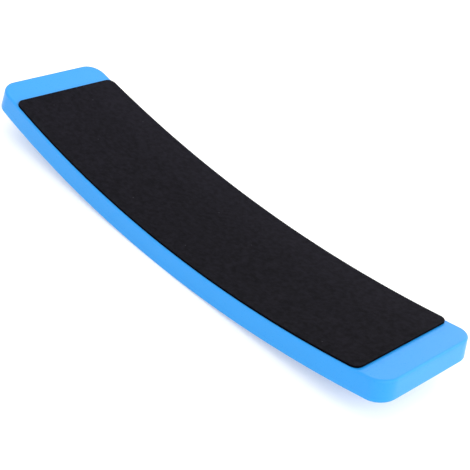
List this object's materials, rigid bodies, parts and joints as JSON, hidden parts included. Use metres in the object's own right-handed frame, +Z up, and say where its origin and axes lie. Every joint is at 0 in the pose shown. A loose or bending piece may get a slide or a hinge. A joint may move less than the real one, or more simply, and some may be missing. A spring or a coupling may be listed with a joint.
{
  "type": "spin board",
  "caption": "Curved plastic rocker plank with a thin foam pad along its top, for practising turns on one foot.",
  "frame": {"origin": "on the floor under the middle of the board, at the middle of the underside's level strip", "axes": "+X along the board, +Y across it, +Z up"},
  "size_m": [0.2862, 0.072, 0.0273],
  "materials": {
    "board_plastic": "satin",
    "adhesive": "satin",
    "foam": "matte"
  },
  "bodies": {
    "root": {"board": "board_plastic", "adhesive_film": "adhesive", "foam_pad": "foam"}
  },
  "joints": []
}
